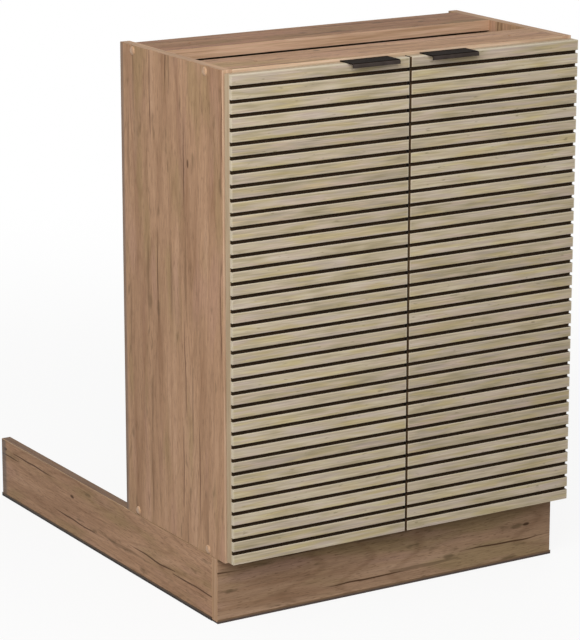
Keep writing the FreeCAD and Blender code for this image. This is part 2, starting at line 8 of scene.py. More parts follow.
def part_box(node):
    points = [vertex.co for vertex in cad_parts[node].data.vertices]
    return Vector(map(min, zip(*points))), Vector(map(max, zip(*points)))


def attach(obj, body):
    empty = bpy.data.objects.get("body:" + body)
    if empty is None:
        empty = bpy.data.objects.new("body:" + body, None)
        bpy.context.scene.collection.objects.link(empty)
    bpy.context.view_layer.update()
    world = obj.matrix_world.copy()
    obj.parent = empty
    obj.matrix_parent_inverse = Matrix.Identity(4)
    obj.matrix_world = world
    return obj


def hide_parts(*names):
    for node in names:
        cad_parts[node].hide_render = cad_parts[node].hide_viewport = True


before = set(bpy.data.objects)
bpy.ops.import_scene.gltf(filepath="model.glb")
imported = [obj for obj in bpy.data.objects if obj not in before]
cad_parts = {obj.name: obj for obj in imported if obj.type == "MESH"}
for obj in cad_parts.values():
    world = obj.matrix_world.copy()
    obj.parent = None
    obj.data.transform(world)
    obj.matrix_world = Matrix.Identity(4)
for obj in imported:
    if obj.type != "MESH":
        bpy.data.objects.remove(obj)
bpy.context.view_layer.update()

# Side panels: two upright boards of chipboard faced with a brown oak print, the grain running up.
# They are sawn, bored for screws, shelf pins and hinge plates, and grooved for the back.

MM = 0.001
board_arris = 0.4 * MM
arris_steps = 2
panel_rear_shade = 11 * MM
mark_sway = 10 * MM
mark_core = 0.35
top_facing = 0.3
flat_within = radians(0.5)
sharp_above = radians(35)
shortest_arris = 6 * MM
smooth_below = radians(20)
weld_distance = 0.001 * MM


def linear(code):
    """A colour written as sRGB hex, as the linear value that a shader takes."""
    shares = [int(code[index:index + 2], 16) / 255 for index in (1, 3, 5)]
    light = [share / 12.92 if share <= 0.04045 else ((share + 0.055) / 1.055) ** 2.4 for share in shares]
    return (*light, 1.0)


def wire(tree, node, inputs):
    """Set a node's inputs, by socket: each to a value, a link or a list of links. A link comes from an
    output, or from a node, which stands for its first output."""
    for socket, value in inputs.items():
        for item in value if isinstance(value, list) else [value]:
            source = item.outputs[0] if isinstance(item, bpy.types.Node) else item
            if isinstance(source, bpy.types.NodeSocket):
                tree.links.new(source, node.inputs[socket])
            else:
                node.inputs[socket].default_value = source


def put(tree, kind, inputs=None, stops=(), **settings):
    """Add one node with its settings, its inputs and its colour stops."""
    node = tree.nodes.new(kind)
    for name, value in settings.items():
        setattr(node, name, value)
    wire(tree, node, inputs or {})
    for index, (position, code) in enumerate(stops):
        elements = node.color_ramp.elements
        stop = elements[index] if index < 2 else elements.new(position)
        stop.position = position
        stop.color = linear(code)
    return node


def shaded(name):
    """A new material, as (material, its tree, its shader, the place of a point on the piece)."""
    material = bpy.data.materials.new(name)
    material.use_nodes = True
    tree = material.node_tree
    place = put(tree, "ShaderNodeTexCoord").outputs["Object"]
    return material, tree, tree.nodes["Principled BSDF"], place


def drawn_out(tree, place, size, detail=1.0, offset=0.0):
    """Cloudy noise whose patches have the given size in millimetres along X, Y and Z."""
    scale = tuple(1 / (side * MM) for side in size)
    spread = put(tree, "ShaderNodeMapping", {"Vector": place, "Scale": scale, "Location": (offset,) * 3})
    return put(tree, "ShaderNodeTexNoise", {"Vector": spread, "Scale": 1.0, "Detail": detail})


def oak_print(name, along, through, offset, bold=1.0, shade=None, rear=None):
    """Melamine with a printed brown oak: broad tones, growth lines, fibres, smudges, cracks and
    knots. It is a satin plastic skin, pressed with shallow pores that follow the print. The pores
    are drawn coarser than real ones, so that they show. The grain runs on one axis and the board's
    thickness on another. A board may have bolder marks and be a shade darker as a whole, and its rear
    end may get a grey band of painted shade, given as the end's place and the band's width."""
    material, tree, shader, place = shaded(name)

    def grain(across, length, detail, shift):
        """Noise drawn out along the grain, with its sizes across and along in millimetres."""
        size = [across] * 3
        size[along] = length
        return drawn_out(tree, place, size, detail, offset + shift)

    def marks(cell, half, share, shift):
        """Separate marks, one in a share of the cells and bent a little. The cells' sizes and the
        marks' half sizes are across and along the grain, and a mark goes through the board."""
        bend = tuple(0.0 if axis == along else mark_sway for axis in range(3))
        sway = put(tree, "ShaderNodeVectorMath", {0: grain(60, 90, 1.0, shift), 1: bend},
                   operation="MULTIPLY")
        bent = put(tree, "ShaderNodeVectorMath", {0: place, 1: sway}, operation="ADD")
        axes = put(tree, "ShaderNodeSeparateXYZ", {0: bent}).outputs
        flat = put(tree, "ShaderNodeCombineXYZ", {0: axes[3 - along - through], 1: axes[along]})
        spread = put(tree, "ShaderNodeMapping", {
            "Vector": flat, "Location": (offset + shift, shift, 0.0),
            "Scale": (1 / (cell[0] * MM), 1 / (cell[1] * MM), 1.0)})
        cells = put(tree, "ShaderNodeTexVoronoi", {"Vector": spread, "Scale": 1.0},
                    voronoi_dimensions="2D").outputs
        away = put(tree, "ShaderNodeVectorMath", {0: spread, 1: cells["Position"]}, operation="SUBTRACT")
        away = put(tree, "ShaderNodeVectorMath", {0: away, 1: (cell[0] / half[0], cell[1] / half[1], 0.0)},
                   operation="MULTIPLY")
        reach = put(tree, "ShaderNodeVectorMath", {0: away}, operation="LENGTH").outputs["Value"]
        faded = put(tree, "ShaderNodeMapRange", {0: reach, 1: 1.0, 2: mark_core},
                    interpolation_type="SMOOTHSTEP")
        chance = put(tree, "ShaderNodeSeparateColor", {0: cells["Color"]})
        drawn = put(tree, "ShaderNodeMath", {0: chance, 1: 1 - share}, operation="GREATER_THAN")
        return put(tree, "ShaderNodeMath", {0: faded, 1: drawn}, operation="MULTIPLY")

    growth = put(tree, "ShaderNodeMath", {0: grain(110, 900, 0.8, 7.1), 1: 17.0}, operation="MULTIPLY")
    rings = put(tree, "ShaderNodeMath", {0: growth, 1: 0.5}, operation="PINGPONG")
    fibres = grain(1.7, 30, 3.0, 11.3)
    pores = grain(1.5, 13, 1.0, 41.7)
    cracks = marks((46, 270), (1.9, 105), 0.50, 17.9)
    # A layer is a pattern, the values where its cover starts and is full, the most cover, and a colour.
    layers = [
        (grain(46, 210, 2.0, 3.7), 0.50, 0.66, 0.50, "#A58A62"),
        (grain(34, 190, 1.0, 29.0), 0.54, 0.70, 0.35, "#BD9480"),
        (rings, 0.15, 0.0, 0.25, "#89664A"),
        (pores, 0.58, 0.70, 0.34, "#76573F"),
        (grain(13, 42, 2.5, 31.9), 0.60, 0.76, 0.55, "#705A40"),
        (marks((58, 240), (4.0, 90), 0.50, 53.0), 0.0, 1.0, 0.42, "#735A41"),
        (cracks, 0.0, 1.0, 0.78, "#5A3E2B"),
        (marks((110, 240), (3.6, 9), 0.45, 61.0), 0.0, 1.0, 0.80, "#573D2A")]
    # Painted shade: a grey band laid over the print along the rear end.
    if rear is not None:
        end, width = rear
        depth = put(tree, "ShaderNodeSeparateXYZ", {0: place}).outputs["Y"]
        layers.append((depth, end - width, end - width / 2, 0.60, "#776D66"))
    tones = put(tree, "ShaderNodeValToRGB", {0: grain(24, 300, 2.5, 0.0)}, [
        (0.30, "#A68063"), (0.44, "#B58F71"), (0.56, "#BE9778"), (0.70, "#C8A183")])
    for pattern, low, high, most, code in layers:
        cover = put(tree, "ShaderNodeMapRange",
                    {0: pattern, 1: low, 2: high, 3: 0.0, 4: min(most * bold, 1.0)},
                    interpolation_type="SMOOTHSTEP")
        tones = put(tree, "ShaderNodeMix", {0: cover, 6: tones, 7: linear(code)},
                    data_type="RGBA").outputs[2]
    tones = put(tree, "ShaderNodeMix", {0: 0.36, 6: tones, 7: fibres}, data_type="RGBA",
                blend_type="OVERLAY").outputs[2]
    if shade:
        tones = put(tree, "ShaderNodeMix", {0: 1.0, 6: tones, 7: linear(shade)}, data_type="RGBA",
                    blend_type="MULTIPLY").outputs[2]
    sunk = put(tree, "ShaderNodeMath", {0: fibres, 1: cracks}, operation="SUBTRACT")
    bump = put(tree, "ShaderNodeBump", {"Strength": 0.2, "Distance": 0.15 * MM, "Height": sunk})
    rough = put(tree, "ShaderNodeMapRange", {0: fibres, 1: 0.2, 2: 0.8, 3: 0.66, 4: 0.50})
    wire(tree, shader, {"Base Color": tones, "Normal": bump, "Roughness": rough, "Specular IOR Level": 0.12})
    return material


def welded(node):
    """The frame node's triangles joined to closed shells, with each flat face whole."""
    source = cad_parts[node].data
    shape = bmesh.new()
    corners = [shape.verts.new(vertex.co) for vertex in source.vertices]
    for face in source.polygons:
        shape.faces.new([corners[index] for index in face.vertices])
    bmesh.ops.remove_doubles(shape, verts=shape.verts[:], dist=weld_distance)
    bmesh.ops.dissolve_limit(shape, angle_limit=flat_within, verts=shape.verts[:], edges=shape.edges[:])
    return shape


def round_off(shape, edges, arris):
    """Give some of a shape's edges a small round arris."""
    bmesh.ops.bevel(shape, geom=edges, offset=arris, offset_type="OFFSET", segments=arris_steps,
                    profile=0.5, affect="EDGES", clamp_overlap=True, material=-1)


def softened(node, arris, shortest=0.0):
    """A copy of a frame node whose sharp edges, from some length on, get a small round arris."""
    shape = welded(node)
    sharp = [edge for edge in shape.edges if edge.is_manifold and edge.calc_length() > shortest
             and edge.calc_face_angle() > sharp_above]
    round_off(shape, sharp, arris)
    bmesh.ops.dissolve_degenerate(shape, dist=weld_distance, edges=shape.edges[:])
    return shape


def placed(name, data):
    """A new object in the scene, with its mesh, light or camera."""
    item = bpy.data.objects.new(name, data)
    bpy.context.scene.collection.objects.link(item)
    return item


def fit(name, mesh, body, node):
    """Put a finished mesh on its body, in the place of a frame node."""
    piece = placed(name, mesh)
    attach(piece, body)
    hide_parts(node)


def fit_shape(name, shape, body, slot, node, *materials):
    """Make a shape a mesh, flat on its faces and smooth round its curves, and fit it."""
    mesh = bpy.data.meshes.new(name)
    shape.to_mesh(mesh)
    shape.free()
    mesh.shade_smooth()
    mesh.set_sharp_from_angle(angle=smooth_below)
    for material in materials:
        mesh.materials.append(material)
    fit(name, mesh, body, node)


def banding(name, along, code, shade):
    """ABS edge strip with a plain wood print: fine streaks along it between two shades, satin."""
    material, tree, shader, place = shaded(name)
    broad, narrow = [4.0] * 3, [1.3] * 3
    broad[along], narrow[along] = 130.0, 40.0
    streaks = drawn_out(tree, place, broad, 3.0)
    fine = drawn_out(tree, place, narrow, 2.0, 5.0)
    colour = put(tree, "ShaderNodeValToRGB", {0: streaks}, [(0.34, shade), (0.64, code)])
    printed = put(tree, "ShaderNodeMix", {0: 0.3, 6: colour, 7: fine}, data_type="RGBA",
                  blend_type="OVERLAY").outputs[2]
    rough = put(tree, "ShaderNodeMapRange", {0: fine, 1: 0.3, 2: 0.7, 3: 0.46, 4: 0.60})
    wire(tree, shader, {"Base Color": printed, "Roughness": rough, "Specular IOR Level": 0.3})
    return material


panel_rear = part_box("left_side_panel")[1].y
board_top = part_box("left_side_panel")[1].z - board_arris
strip_back = banding("ABS edge strip, grain to the back", 1, "#BF966F", "#997451")
# Each side panel gets a band of painted shade along its rear edge.
oak_upright = oak_print("oak print, grain upright", 2, 0, 4.0, rear=(panel_rear, panel_rear_shade))
for side in ("left", "right"):
    node = side + "_side_panel"
    board = softened(node, board_arris, shortest_arris)
    for face in board.faces:
        on_top = face.normal.z > top_facing and face.calc_center_median().z > board_top
        face.material_index = 1 if on_top else 0
    fit_shape(node + "_oak", board, "carcass", "oak_decor_board", node, oak_upright, strip_back)

# Cross boards: the cabinet's floor and the two flat rails across its open top, in the same board
# with the grain running across. They are screwed and dowelled between the side panels.

oak_crosswise = oak_print("oak print, grain across", 0, 2, 9.0, bold=1.5, shade="#FFFDF6")
# The rear rail takes its own copy of the print, darker all over and with bolder marks.
oak_darker = oak_print("oak print, darker board", 0, 2, 27.0, bold=1.8, shade="#DACDC0")
for node, finish in (("bottom_panel", oak_crosswise), ("front_stretcher", oak_crosswise),
                     ("rear_stretcher", oak_darker)):
    board = softened(node, board_arris, shortest_arris)
    fit_shape(node + "_oak", board, "carcass", "oak_decor_board", node, finish)

# Edge strips: thin plastic bands glued on the boards' front edges, a shade paler than the print,
# trimmed flush with a small round arris.

strip_arris = 0.3 * MM
strip_corners = 24


def corners_of(points):
    """The lowest and highest corner of some points."""
    low = Vector([min(values) for values in zip(*points)])
    high = Vector([max(values) for values in zip(*points)])
    return low, high


def strips_of(node):
    """Plain strips that touch, each closed on its own, with a small round arris. The frame gives
    four corners to each of a strip's six faces."""
    points = [vertex.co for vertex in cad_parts[node].data.vertices]
    shape = bmesh.new()
    for first in range(0, len(points), strip_corners):
        low, high = corners_of(points[first:first + strip_corners])
        bmesh.ops.create_cube(shape, size=1.0,
                              matrix=Matrix.LocRotScale((low + high) / 2, None, high - low))
    round_off(shape, shape.edges[:], strip_arris)
    return shape


strip_across = banding("ABS edge strip, grain across", 0, "#E3C5A8", "#BFA080")
strip_upright = banding("ABS edge strip, grain upright", 2, "#D3B193", "#BD987A")
strip_rear = banding("ABS edge strip, rear rail", 0, "#D9B294", "#B79170")
inner_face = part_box("right_side_panel")[0].x
front_rail_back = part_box("front_stretcher")[1].y
bands = strips_of("carcass_edge_bands")
for face in bands.faces:
    middle = face.calc_center_median()
    face.material_index = 1 if abs(middle.x) > inner_face else 2 if middle.y > front_rail_back else 0
fit_shape("carcass_edge_strips", bands, "carcass", "edge_strip", "carcass_edge_bands",
          strip_across, strip_upright, strip_rear)

# Back panel: a thin hardboard sheet, raw and brown outside and lacquered inside, in a dark brown that
# is also painted shade for the closed cabinet's inside. It slides into the side panels' grooves and is
# screwed to the floor and to the rear rail.

sheet_arris = 0.2 * MM
flat_facing = 0.9


def hardboard(name, code, shade, fleck):
    """Pressed wood fibre: a mottled brown with darker flecks, dull all over."""
    material, tree, shader, place = shaded(name)
    clouds = drawn_out(tree, place, (70, 70, 90), 3.0)
    flecks = drawn_out(tree, place, (2.6, 2.6, 3.4), 2.0, 8.0)
    colour = put(tree, "ShaderNodeValToRGB", {0: clouds}, [(0.35, shade), (0.65, code)])
    dark = put(tree, "ShaderNodeMapRange", {0: flecks, 1: 0.56, 2: 0.70, 3: 0.0, 4: 0.55})
    flecked = put(tree, "ShaderNodeMix", {0: dark, 6: colour, 7: linear(fleck)}, data_type="RGBA").outputs[2]
    bump = put(tree, "ShaderNodeBump", {"Strength": 0.3, "Distance": 0.08 * MM, "Height": flecks})
    wire(tree, shader, {"Base Color": flecked, "Normal": bump, "Roughness": 0.78})
    return material


def moulded(name, code, shade, grit, roughness, relief):
    """A coloured plastic: faint clouds of colour, and a fine grit from its mould, sizes in mm."""
    material, tree, shader, place = shaded(name)
    clouds = drawn_out(tree, place, (grit * 14,) * 3, 2.0)
    fine = drawn_out(tree, place, (grit,) * 3, 1.0, 5.0)
    colour = put(tree, "ShaderNodeValToRGB", {0: clouds}, [(0.35, shade), (0.65, code)])
    speckled = put(tree, "ShaderNodeMix", {0: 0.15, 6: colour, 7: fine}, data_type="RGBA",
                   blend_type="OVERLAY").outputs[2]
    rough = put(tree, "ShaderNodeMapRange",
                {0: fine, 1: 0.3, 2: 0.7, 3: roughness - 0.07, 4: roughness + 0.07})
    bump = put(tree, "ShaderNodeBump", {"Strength": 0.3, "Distance": relief * MM, "Height": fine})
    wire(tree, shader, {"Base Color": speckled, "Normal": bump, "Roughness": rough})
    return material


raw_hardboard = hardboard("raw hardboard", "#A98763", "#9A7955", "#7C5E40")
lacquer_and_inside_shade = moulded("brown lacquer on hardboard", "#5E4837", "#523E2F", 1.6, 0.5, 0.05)
sheet = softened("back_panel", sheet_arris)
for face in sheet.faces:
    face.material_index = 1 if face.normal.y < -flat_facing else 0
fit_shape("back_panel_hardboard", sheet, "carcass", "fibreboard", "back_panel",
          raw_hardboard, lacquer_and_inside_shade)

# Assembly screws and dowels: zinc plated screws with wide heads, and beech pegs. They lie inside
# the boards' ends, so the frame's own solids carry their finish.


def plated(name, code, shade, roughness):
    """Plated steel: a bright metal with faint clouds, fine scratches and an uneven polish."""
    material, tree, shader, place = shaded(name)
    clouds = drawn_out(tree, place, (9, 9, 9), 2.0)
    scratches = drawn_out(tree, place, (0.5, 6.0, 0.5), 2.0, 3.0)
    colour = put(tree, "ShaderNodeValToRGB", {0: clouds}, [(0.35, shade), (0.65, code)])
    rough = put(tree, "ShaderNodeMapRange",
                {0: scratches, 1: 0.3, 2: 0.7, 3: roughness - 0.08, 4: roughness + 0.10})
    bump = put(tree, "ShaderNodeBump", {"Strength": 0.12, "Distance": 0.03 * MM, "Height": scratches})
    wire(tree, shader, {"Base Color": colour, "Metallic": 1.0, "Normal": bump, "Roughness": rough})
    return material


def dress(node, material):
    """Give a frame node's own solids their finish."""
    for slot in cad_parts[node].material_slots:
        slot.material = material


def pale_beech(name):
    """Raw beech: pink brown with the short dark flecks of its rays, along the peg."""
    material, tree, shader, place = shaded(name)
    rays = drawn_out(tree, place, (7.0, 0.9, 0.9), 2.0)
    colour = put(tree, "ShaderNodeValToRGB", {0: rays}, [(0.38, "#B98F63"), (0.60, "#D3AE82")])
    wire(tree, shader, {"Base Color": colour, "Roughness": 0.7})
    return material


zinc = plated("zinc plated steel", "#C4C0B6", "#A9A59B", 0.34)
dress("confirmat_screws", zinc)
dress("dowels", pale_beech("raw beech"))

# Screw caps: small coned plastic covers pressed over the assembly screws, four on each side, in a
# brown a little paler than the print.

cap_sides = 40
cap_depth = 0.5 * MM
cap_profile = ((1.0, 0.0), (1.0, 0.06), (0.97, 0.16), (0.73, 0.92), (0.66, 1.0), (0.0, 1.0))


def separate(node):
    """The corner points of each separate solid in a frame node."""
    shape = welded(node)
    groups = []
    seen = set()
    for corner in shape.verts:
        if corner in seen:
            continue
        seen.add(corner)
        waiting = [corner]
        group = []
        while waiting:
            point = waiting.pop()
            group.append(point.co.copy())
            for edge in point.link_edges:
                other = edge.other_vert(point)
                if other not in seen:
                    seen.add(other)
                    waiting.append(other)
        groups.append(group)
    shape.free()
    return groups


def turned(shape, outline, start, heading, sides, wave=None):
    """Add a turned solid to a shape: pairs of radius and height, begun and ended on its axis.
    A wave, where there is one, changes the radius at an angle and a height."""
    turn = heading.to_track_quat("Z", "Y")
    rings = []
    for radius, height in outline:
        ring = []
        for step in range(sides if radius else 1):
            angle = tau * step / sides
            reach = wave(radius, angle, height) if wave and radius else radius
            spot = Vector((reach * cos(angle), reach * sin(angle), height))
            ring.append(shape.verts.new(start + turn @ spot))
        rings.append(ring)
    for low, high in zip(rings, rings[1:]):
        for step in range(sides):
            after = (step + 1) % sides
            corners = [low[step % len(low)], low[after % len(low)],
                       high[after % len(high)], high[step % len(high)]]
            shape.faces.new(list(dict.fromkeys(corners)))


cap_plastic = moulded("moulded brown caps", "#C49D7A", "#B18A67", 0.7, 0.26, 0.02)
caps = bmesh.new()
for group in separate("screw_caps"):
    low, high = corners_of(group)
    outward = Vector((1 if low.x > 0 else -1, 0, 0))
    base = (low + high) / 2
    panel_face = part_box("left_side_panel")[0].x if outward.x < 0 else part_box("right_side_panel")[1].x
    base.x = panel_face
    radius = (high.z - low.z) / 2
    rise = abs((low.x if outward.x < 0 else high.x) - panel_face)
    outline = [(0, -cap_depth), (radius, -cap_depth)]
    outline += [(radius * across, rise * height) for across, height in cap_profile]
    turned(caps, outline, base, outward, cap_sides)
bmesh.ops.recalc_face_normals(caps, faces=caps.faces[:])
fit_shape("screw_caps_moulded", caps, "carcass", "cap_plastic", "screw_caps", cap_plastic)

# Wood screws: zinc plated, with a sunk or flat head and a cross recess. One tree of nodes makes
# them all, and every set takes its places, headings and lengths from the frame.

end_slack = 0.05 * MM
head_sides = 24
shank_sides = 12
shank_from = 0.75
point_share = 0.5
flat_head_top = 0.86
recess_length = 1.1
recess_width = 0.28
small_shank = 1.75 * MM
small_head = 1.2 * MM


def sized_tree(name, kinds):
    """A geometry tree with a mesh in, a mesh out and named inputs, as (tree, input sockets)."""
    tree = bpy.data.node_groups.new(name, "GeometryNodeTree")
    tree.interface.new_socket("Mesh", in_out="OUTPUT", socket_type="NodeSocketGeometry")
    tree.interface.new_socket("Mesh", in_out="INPUT", socket_type="NodeSocketGeometry")
    for label, kind in kinds.items():
        tree.interface.new_socket(label, in_out="INPUT", socket_type="NodeSocket" + kind)
    return tree, put(tree, "NodeGroupInput").outputs


def end_tree(tree, instances, finish):
    """End a tree of nodes: its instances are made real and given their material."""
    real = put(tree, "GeometryNodeRealizeInstances", {0: instances})
    finished = put(tree, "GeometryNodeSetMaterial", {0: real, 2: finish})
    put(tree, "NodeGroupOutput", {0: finished})


def grown(name, points, tree, values):
    """Run a tree of nodes on a bare mesh and give back the plain mesh that comes out."""
    holder = placed(name, points)
    modifier = holder.modifiers.new(name, "NODES")
    modifier.node_group = tree
    for item in tree.interface.items_tree:
        if item.in_out == "INPUT" and item.name in values:
            modifier[item.identifier] = values[item.name]
    graph = bpy.context.evaluated_depsgraph_get()
    mesh = bpy.data.meshes.new_from_object(holder.evaluated_get(graph), preserve_all_data_layers=True,
                                           depsgraph=graph)
    bpy.data.objects.remove(holder)
    mesh.name = name
    return mesh


screw_tree, given = sized_tree("driven screws", {
    "Head Radius": "Float", "Neck Radius": "Float", "Head Height": "Float", "Shank Radius": "Float",
    "Length": "Float", "Recess Length": "Float", "Recess Width": "Float", "Seed": "Int",
    "Finish": "Material"})


def lowered(mesh, depth):
    """A mesh moved down along the screw's axis."""
    down = put(screw_tree, "ShaderNodeVectorMath", {0: (0.0, 0.0, -1.0), "Scale": depth}, operation="SCALE")
    return put(screw_tree, "GeometryNodeTransform", {0: mesh, 1: down})


head = put(screw_tree, "GeometryNodeMeshCone", {
    "Vertices": head_sides, "Radius Top": given["Head Radius"], "Radius Bottom": given["Neck Radius"],
    "Depth": given["Head Height"]})
bars = []
for first, second in (("Recess Length", "Recess Width"), ("Recess Width", "Recess Length")):
    size = put(screw_tree, "ShaderNodeCombineXYZ",
               {0: given[first], 1: given[second], 2: given["Head Height"]})
    bars.append(put(screw_tree, "GeometryNodeMeshCube", {"Size": size}))
shank_start = put(screw_tree, "ShaderNodeMath", {0: given["Head Height"], 1: shank_from},
                  operation="MULTIPLY")
shank_length = put(screw_tree, "ShaderNodeMath", {0: given["Length"], 1: shank_start}, operation="SUBTRACT")
point_radius = put(screw_tree, "ShaderNodeMath", {0: given["Shank Radius"], 1: point_share},
                   operation="MULTIPLY")
shank = put(screw_tree, "GeometryNodeMeshCone", {
    "Vertices": shank_sides, "Radius Top": given["Shank Radius"], "Radius Bottom": point_radius,
    "Depth": shank_length})
whole = put(screw_tree, "GeometryNodeMeshBoolean",
            {1: [lowered(head, given["Head Height"]), lowered(shank, given["Length"])]},
            operation="UNION", solver="MANIFOLD")
whole = put(screw_tree, "GeometryNodeMeshBoolean", {0: whole, 1: bars},
            operation="DIFFERENCE", solver="MANIFOLD")
aim = put(screw_tree, "GeometryNodeInputNamedAttribute", {"Name": "heading"}, data_type="FLOAT_VECTOR")
aim = put(screw_tree, "FunctionNodeAlignRotationToVector", {"Vector": aim}, axis="Z")
driven = put(screw_tree, "GeometryNodeInstanceOnPoints",
             {"Points": given["Mesh"], "Instance": whole, "Rotation": aim})
roll = put(screw_tree, "FunctionNodeRandomValue", {3: tau, "Seed": given["Seed"]},
           data_type="FLOAT").outputs[1]
roll = put(screw_tree, "ShaderNodeCombineXYZ", {2: roll})
driven = put(screw_tree, "GeometryNodeRotateInstances", {0: driven, 2: roll})
end_tree(screw_tree, driven, given["Finish"])


def screws(node, body, shank_radius, head_height, seed, flat=False):
    """One set of screws in the place of a frame node, sunk or with flat heads that stand proud."""
    places, headings = [], []
    for group in separate(node):
        low, high = corners_of(group)
        axis = max(range(3), key=lambda index: high[index] - low[index])
        middle = (low + high) / 2
        girths = {}
        for end in (low[axis], high[axis]):
            rim = [point - middle for point in group if abs(point[axis] - end) < end_slack]
            for arm in rim:
                arm[axis] = 0
            girths[end] = max(arm.length for arm in rim)
        top = max(girths, key=girths.get)
        head_radius = girths[top]
        heading = Vector((0, 0, 0))
        heading[axis] = 1 if top == high[axis] else -1
        length = high[axis] - low[axis]
        middle[axis] = top
        places.append(middle)
        headings.append(heading)
    points = bpy.data.meshes.new(node + "_points")
    points.from_pydata(places, [], [])
    points.attributes.new("heading", "FLOAT_VECTOR", "POINT").data.foreach_set(
        "vector", [value for heading in headings for value in heading])
    mesh = grown(node + "_zinc", points, screw_tree, {
        "Head Radius": head_radius * (flat_head_top if flat else 1.0),
        "Neck Radius": head_radius if flat else shank_radius, "Head Height": head_height,
        "Shank Radius": shank_radius, "Length": length,
        "Recess Length": head_radius * recess_length, "Recess Width": head_radius * recess_width,
        "Seed": seed, "Finish": zinc})
    fit(node + "_zinc", mesh, body, node)


screws("back_panel_screws", "carcass", small_shank, small_head, 3)

# Shelf: one loose board of the same make with a strip on its front edge, lying on four nickel
# plated pins that are pushed into the rows of holes in the sides.

pin_arris = 0.25 * MM
board = softened("shelf", board_arris, shortest_arris)
fit_shape("shelf_oak", board, "carcass", "oak_decor_board", "shelf", oak_crosswise)
nickel = plated("nickel plated steel", "#CFCBC2", "#B7B3AA", 0.24)
pins = softened("shelf_pins", pin_arris)
fit_shape("shelf_pins_nickel", pins, "carcass", "hinge_steel", "shelf_pins", nickel)

# Legs: moulded black tubes with a screwed flange, shallow flutes down the tube and four gussets
# under the flange. Each holds a foot with a notched rim that turns on a thread.

leg_sides = 96
flute_count = 24
flute_depth = 0.6 * MM
thread_pitch = 3.2 * MM
thread_depth = 0.8 * MM
thread_slices = 8
notch_count = 12
notch_depth = 1.6 * MM
bore_play = 0.25 * MM
gusset = (2.4 * MM, 10 * MM, 14 * MM)
leg_rounding = 0.8 * MM
tube = 14 * MM
flange_thickness = 4 * MM
rim_side = 5.6 * MM
rim_slope = 7.4 * MM
rim_top = 8 * MM
slope_inset = 2 * MM
thread_hidden = 4 * MM


def add_leg(shape, low, high, axis_foot, bore, bore_top):
    """Add one leg to a shape: a fluted tube, bored from below, and a flange with four gussets."""
    flange = (high.x - low.x) / 2
    flange_under = high.z - flange_thickness

    def fluted(radius, angle, height):
        """The tube's radius between its flutes and in them; any other radius stays as it is."""
        on_tube = low.z + 2 * leg_rounding < height < flange_under - leg_rounding
        if abs(radius - tube) > end_slack or not on_tube:
            return radius
        return radius - flute_depth * max(0.0, cos(flute_count * angle)) ** 2

    outline = [(0, bore_top), (bore, bore_top), (bore, low.z + leg_rounding), (bore + leg_rounding, low.z),
               (tube - leg_rounding, low.z), (tube, low.z + leg_rounding),
               (tube, low.z + 2 * leg_rounding), (tube, low.z + 4 * leg_rounding),
               (tube, flange_under - 3 * leg_rounding), (tube, flange_under - leg_rounding),
               (tube + leg_rounding, flange_under), (flange - leg_rounding, flange_under),
               (flange, flange_under + leg_rounding), (flange, high.z), (0, high.z)]
    turned(shape, outline, axis_foot, Vector((0, 0, 1)), leg_sides, fluted)
    width, reach, drop = gusset
    for quarter in range(4):
        out = Vector((cos(pi / 2 * quarter), sin(pi / 2 * quarter), 0))
        across = Vector((-out.y, out.x, 0)) * width / 2
        inner = axis_foot + out * (tube - leg_rounding)
        corners = [inner + Vector((0, 0, flange_under + leg_rounding)),
                   inner + out * reach + Vector((0, 0, flange_under + leg_rounding)),
                   inner + out * reach + Vector((0, 0, flange_under - leg_rounding)),
                   inner + Vector((0, 0, flange_under - drop))]
        near = [shape.verts.new(corner - across) for corner in corners]
        far = [shape.verts.new(corner + across) for corner in corners]
        shape.faces.new(near)
        shape.faces.new(far[::-1])
        for step in range(4):
            after = (step + 1) % 4
            shape.faces.new([near[step], far[step], far[after], near[after]])


def foot_shape(rim, stem_radius, axis_foot, leg_end):
    """A foot: a notched rim, and a threaded stem that ends a little above the leg's lower end."""
    def threaded(radius, angle, height):
        """The foot's radius: notched round the rim, and with a thread up the stem."""
        if radius > stem_radius + end_slack:
            return radius - notch_depth * max(0.0, cos(notch_count * angle)) ** 2
        turn_share = height / thread_pitch - angle / tau
        return radius - thread_depth * abs(2 * (turn_share - floor(turn_share)) - 1)

    outline = [(0, 0), (rim - 2 * leg_rounding, 0), (rim, 2 * leg_rounding), (rim, rim_side),
               (rim - slope_inset, rim_slope), (stem_radius + slope_inset, rim_top)]
    slices = int((leg_end - rim_top + thread_hidden) / thread_pitch * thread_slices)
    outline += [(stem_radius, rim_top + thread_pitch * step / thread_slices) for step in range(slices + 1)]
    outline += [(0, outline[-1][1])]
    shape = bmesh.new()
    turned(shape, outline, axis_foot, Vector((0, 0, 1)), leg_sides // 2, threaded)
    bmesh.ops.recalc_face_normals(shape, faces=shape.faces[:])
    return shape


leg_plastic = moulded("moulded black polypropylene", "#252526", "#1D1D1E", 0.9, 0.46, 0.05)
legs = bmesh.new()
for group in separate("leg_sockets"):
    low, high = corners_of(group)
    centre = (low + high) / 2
    axis_foot = Vector((centre.x, centre.y, 0))
    node = min((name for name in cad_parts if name.endswith("_foot")),
               key=lambda name: (sum(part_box(name), Vector()) / 2 - centre).xy.length)
    foot_low, foot_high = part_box(node)
    stem_radius = min((vertex.co - centre).xy.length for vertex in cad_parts[node].data.vertices
                      if vertex.co.z > foot_high.z - end_slack)
    add_leg(legs, low, high, axis_foot, stem_radius + bore_play, foot_high.z + bore_play)
    foot = foot_shape((foot_high.x - foot_low.x) / 2, stem_radius, axis_foot, low.z)
    fit_shape(node + "_moulded", foot, node, "black_plastic", node, leg_plastic)
bmesh.ops.recalc_face_normals(legs, faces=legs.faces[:])
fit_shape("legs_moulded", legs, "carcass", "black_plastic", "leg_sockets", leg_plastic)
screws("leg_screws", "carcass", small_shank, small_head, 5)

# Plinth: a front board and a long left board that runs past the cabinet's back, in the same oak
# print with the grain along them, clipped to the legs and joined by a steel angle.

